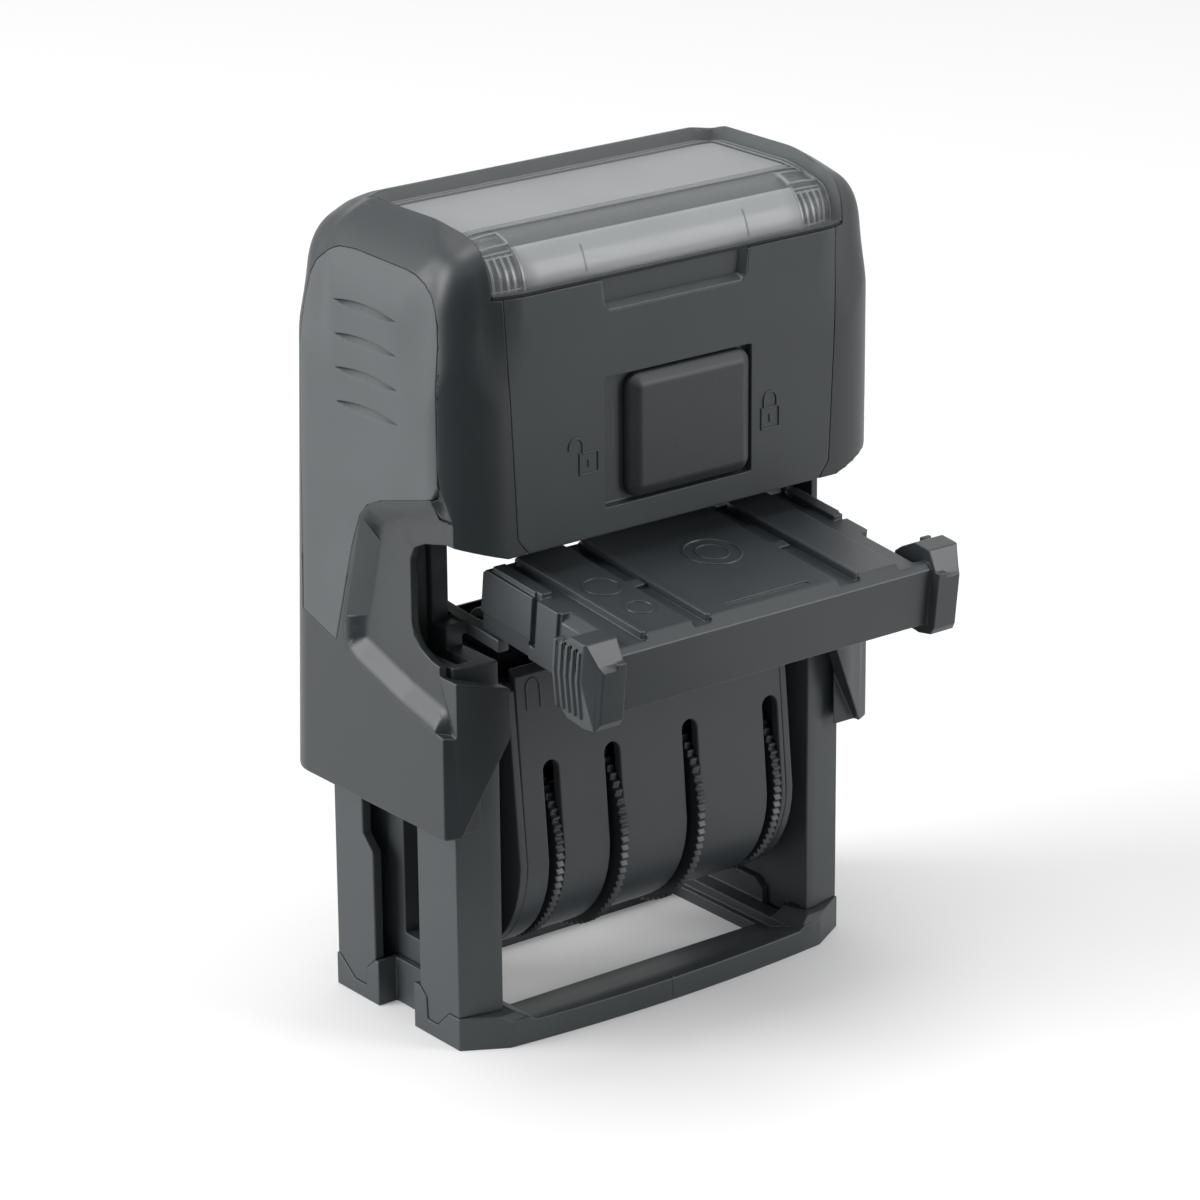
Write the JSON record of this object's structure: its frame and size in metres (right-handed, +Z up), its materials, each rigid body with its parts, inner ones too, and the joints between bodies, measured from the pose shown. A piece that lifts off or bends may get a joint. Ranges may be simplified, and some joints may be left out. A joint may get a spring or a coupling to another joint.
{
  "type": "self-inking date stamp",
  "caption": "Self-inking date stamp: a sprung cap drives a flipping date unit between an ink cartridge above and the paper below.",
  "frame": {"origin": "centre of the print window in the base, on the surface the stamp stands on", "axes": "+X to the stamp's right, +Y to its rear, +Z up"},
  "size_m": [0.0482, 0.0423, 0.0751],
  "materials": {
    "frame_plastic": "fine matt, dark grey",
    "cap_plastic": "satin, dark grey",
    "panel_plastic": "satin, dark grey",
    "soft_grip": "soft-touch matt",
    "button_plastic": "fine spark-eroded texture",
    "clear_plastic": "clear, polished",
    "card_paper": "plain grey card",
    "spring_steel": "bright wire",
    "arm_plastic": "smooth acetal, dark grey",
    "dater_plastic": "satin, dark grey",
    "wheel_plastic": "satin, near black",
    "band_rubber": "matt rubber",
    "tray_plastic": "satin, near black",
    "ink_felt": "ink-soaked felt"
  },
  "bodies": {
    "frame": {"foot_ring": "frame_plastic", "left_column": "frame_plastic", "right_column": "frame_plastic", "chassis_bridge": "frame_plastic", "left_return_spring": "spring_steel", "right_return_spring": "spring_steel"},
    "cap": {"cap_shell": "cap_plastic", "front_panel": "panel_plastic", "left_grip_insert": "soft_grip", "right_grip_insert": "soft_grip", "index_card": "card_paper"},
    "window": {"clear_cover": "clear_plastic"},
    "lock": {"lock_button": "button_plastic", "lock_latch": "button_plastic"},
    "carriage": {"left_lift_arm": "arm_plastic", "right_lift_arm": "arm_plastic"},
    "dater": {"left_dater_cheek": "dater_plastic", "right_dater_cheek": "dater_plastic", "dater_cover": "dater_plastic", "wheel_shaft": "spring_steel", "print_bridge": "dater_plastic", "day_tens_band": "band_rubber", "day_units_band": "band_rubber", "month_band": "band_rubber", "year_band": "band_rubber"},
    "day_tens": {"day_tens_wheel": "wheel_plastic"},
    "day_units": {"day_units_wheel": "wheel_plastic"},
    "month": {"month_wheel": "wheel_plastic"},
    "year": {"year_wheel": "wheel_plastic"},
    "cartridge": {"ink_tray": "tray_plastic", "ink_pad": "ink_felt"}
  },
  "joints": [
    {"name": "cap_lift", "type": "slide", "parent": "frame", "child": "cap", "axis": [0, 0, 1], "range_m": [0, 0.0035], "deforming": ["left_return_spring", "right_return_spring"]},
    {"name": "cover_lift", "type": "slide", "parent": "cap", "child": "window", "axis": [0, 0, 1], "range_m": [0, 0.012]},
    {"name": "lock_slide", "type": "slide", "parent": "cap", "child": "lock", "axis": [1, 0, 0], "range_m": [-0.0022, 0]},
    {"name": "print_stroke", "type": "slide", "parent": "cap", "child": "carriage", "axis": [0, 0, -1], "range_m": [0, 0.018], "stiffness_N_per_m": 60, "springref_m": -0.012},
    {"name": "dater_flip", "type": "hinge", "parent": "carriage", "child": "dater", "pos_m": [0, 0, 0.027], "axis": [1, 0, 0], "range_deg": [0, 180]},
    {"name": "day_tens_turn", "type": "hinge", "parent": "dater", "child": "day_tens", "pos_m": [0, 0, 0.0161], "axis": [1, 0, 0], "continuous": true},
    {"name": "day_units_turn", "type": "hinge", "parent": "dater", "child": "day_units", "pos_m": [0, 0, 0.0161], "axis": [1, 0, 0], "continuous": true},
    {"name": "month_turn", "type": "hinge", "parent": "dater", "child": "month", "pos_m": [0, 0, 0.0161], "axis": [1, 0, 0], "continuous": true},
    {"name": "year_turn", "type": "hinge", "parent": "dater", "child": "year", "pos_m": [0, 0, 0.0161], "axis": [1, 0, 0], "continuous": true},
    {"name": "cartridge_slide", "type": "slide", "parent": "frame", "child": "cartridge", "axis": [0, 0.994, 0.1097], "range_m": [0, 0.0169]}
  ],
  "couplings": [
    {"joint": "dater_flip", "follows": "print_stroke", "rad_per_m": 174.53}
  ]
}
